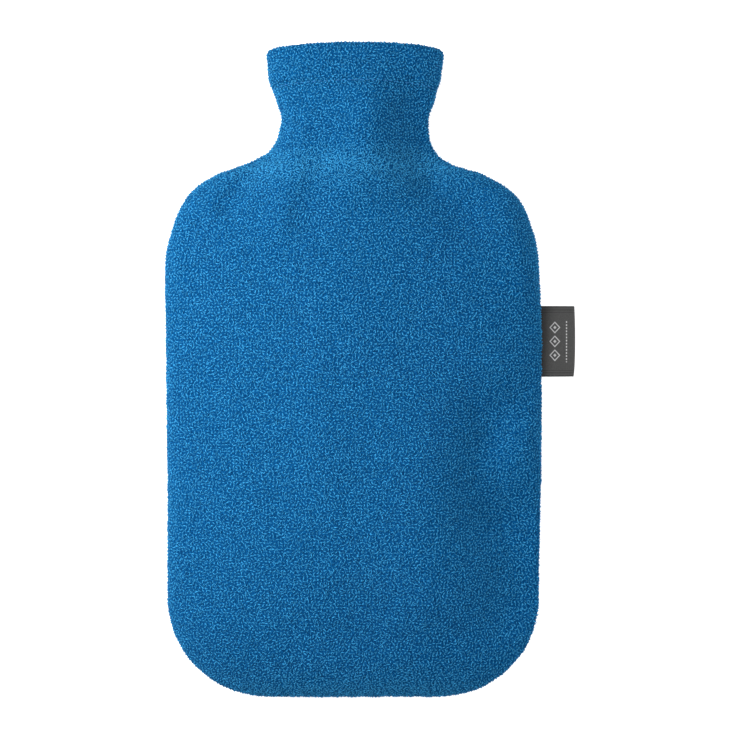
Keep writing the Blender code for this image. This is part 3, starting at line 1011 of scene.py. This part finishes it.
def tape_material():
    """Woven tape: fine ribs, darker selvages and a plain woven motif."""
    look = dict(roughness=0.52, specular=0.35, sheen=0.08, sheen_roughness=0.4)
    material, tree, shader = new_material("label_tape", **look)
    place = own_place(tree)
    split = node(tree, "ShaderNodeSeparateXYZ", {"Vector": place})
    x, y = split.outputs["X"], split.outputs["Y"]
    up = maths(tree, "SUBTRACT", y, LABEL_MIDDLE)
    off = maths(tree, "ABSOLUTE", up)
    weave = weigh(tree, wave(tree, y, END_PITCH), 0.35, wave(tree, x, PICK_PITCH), 0.5)
    shade = weigh(tree, noise(tree, place, TAPE_FUZZ, detail=2.0), 0.7, weave, 0.22)
    colour = blend_colours(tree, ramp(tree, shade, 0.0, 0.8), TAPE_DARK, TAPE_LIGHT)
    half = (LABEL_HIGH[1] - LABEL_LOW[1]) / 2
    for inset, width in SELVAGE_LINES:
        line = fade(tree, away(tree, off, half - inset * MM), 0.4 * width * MM, width * MM)
        colour = blend_colours(tree, line, colour, SELVAGE)
    # Painted shade: the tape darkens to the selvage's colour where it goes into the seam.
    painted_seam_shade = fade(tree, x, *(LABEL_LOW[0] + np.array(ROOT_SHADE)))
    colour = blend_colours(tree, painted_seam_shade, colour, SELVAGE)
    motif = tape_motif(tree, x, up, off)
    covered = maths(tree, "MULTIPLY", motif, MOTIF_COVER)
    colour = blend_colours(tree, covered, colour, MOTIF_THREAD)
    tree.links.new(colour, shader.inputs["Base Color"])
    height = maths(tree, "MULTIPLY_ADD", motif, 0.8, weave)
    add_bump(tree, shader, height, strength=0.4, distance=0.08 * MM)
    return material


# ---- Stage

def floor_material():
    """A plain, pale floor that glows evenly, so that shadows hardly show on it."""
    material, tree, shader = new_material("floor", roughness=0.9, specular=0.0)
    paper = noise(tree, own_place(tree), PAPER_CELL, detail=2.0)
    colour = blend_colours(tree, paper, PAPER_DARK, PAPER_LIGHT)
    tree.links.new(colour, shader.inputs["Base Color"])
    shader.inputs["Emission Color"].default_value = WHITE
    shader.inputs["Emission Strength"].default_value = FLOOR_GLOW
    return material


def add_floor():
    """The floor under the cover, which curves up all round into a low backdrop."""
    turn = np.linspace(0, np.pi / 2, COVE_STEPS + 1)
    cove = FLOOR_REACH - COVE * (1 - np.sin(turn))
    reach = np.concatenate(([FLOOR_START], cove, [FLOOR_REACH]))
    rise = np.concatenate(([0.0], COVE * (1 - np.cos(turn)), [BACKDROP])) - PILE_ROOM
    spokes = np.linspace(0, 2 * np.pi, FLOOR_SIDES, endpoint=False)
    points = []
    for radius, height in zip(reach, rise):
        level = np.full_like(spokes, height)
        points.append(np.stack((radius * np.cos(spokes), radius * np.sin(spokes), level), axis=-1))
    faces = [list(range(FLOOR_SIDES))]
    for ring in range(len(reach) - 1):
        for i in range(FLOOR_SIDES):
            here, after = ring * FLOOR_SIDES + i, ring * FLOOR_SIDES + (i + 1) % FLOOR_SIDES
            faces.append([here, here + FLOOR_SIDES, after + FLOOR_SIDES, after])
    mesh = bpy.data.meshes.new("floor")
    mesh.from_pydata(np.concatenate(points).tolist(), [], faces)
    mesh.shade_smooth()
    mesh.materials.append(floor_material())
    floor = bpy.data.objects.new("floor", mesh)
    bpy.context.scene.collection.objects.link(floor)


def add_lamp(name, place, size, power):
    """A soft square lamp that faces the cover's middle."""
    lamp = bpy.data.lights.new(name, "AREA")
    lamp.shape = "RECTANGLE"
    lamp.size, lamp.size_y = size
    lamp.energy = power
    thing = bpy.data.objects.new(name, lamp)
    thing.location = place
    ahead = Vector((0, 0, SEAM_HEIGHT)) - thing.location
    thing.rotation_euler = ahead.to_track_quat("-Z", "Y").to_euler()
    thing.visible_camera = False
    bpy.context.scene.collection.objects.link(thing)


def add_world():
    """Even white light from all round."""
    world = bpy.data.worlds.new("studio")
    world.use_nodes = True
    background = world.node_tree.nodes["Background"]
    background.inputs["Color"].default_value = WHITE
    background.inputs["Strength"].default_value = WORLD_LIGHT
    bpy.context.scene.world = world


def add_camera():
    """Looks straight down on the cover, a little right of its centre line."""
    lens = bpy.data.cameras.new("camera")
    lens.sensor_width = SENSOR_WIDTH
    lens.lens = SENSOR_WIDTH * CAMERA_DISTANCE / VIEW_WIDTH
    lens.clip_end = CLIP_END
    camera = bpy.data.objects.new("camera", lens)
    camera.location = (CAMERA_X, CAMERA_Y, SEAM_HEIGHT + CAMERA_DISTANCE)
    bpy.context.scene.collection.objects.link(camera)
    bpy.context.scene.camera = camera


def main():
    """Builds the cover's cloth, label and stitching, and the studio round them."""
    ground_cloth, pile_cloth = fleece_ground_material(), fleece_pile_material()
    lines = []
    for panel in (FRONT, BACK):
        skin, ground, facings = add_skin(panel.name + "_fleece", panel, ground_cloth)
        nap = add_nap(panel.name + "_nap", panel, ground, facings, pile_cloth)
        fuzz = add_fuzz(panel.name + "_fuzz", panel, ground, facings, pile_cloth)
        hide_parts(panel.name + "_panel")
        lines.append(stitch_line(ground, facings))
    add_stitches("hem_stitches", lines, thread_material())

    label, length, width = add_tape("label_loop", tape_material())
    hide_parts("side_label")

    add_floor()
    for lamp in LAMPS:
        add_lamp(*lamp)
    add_world()
    add_camera()
    bpy.context.scene.view_settings.view_transform = "Standard"


main()
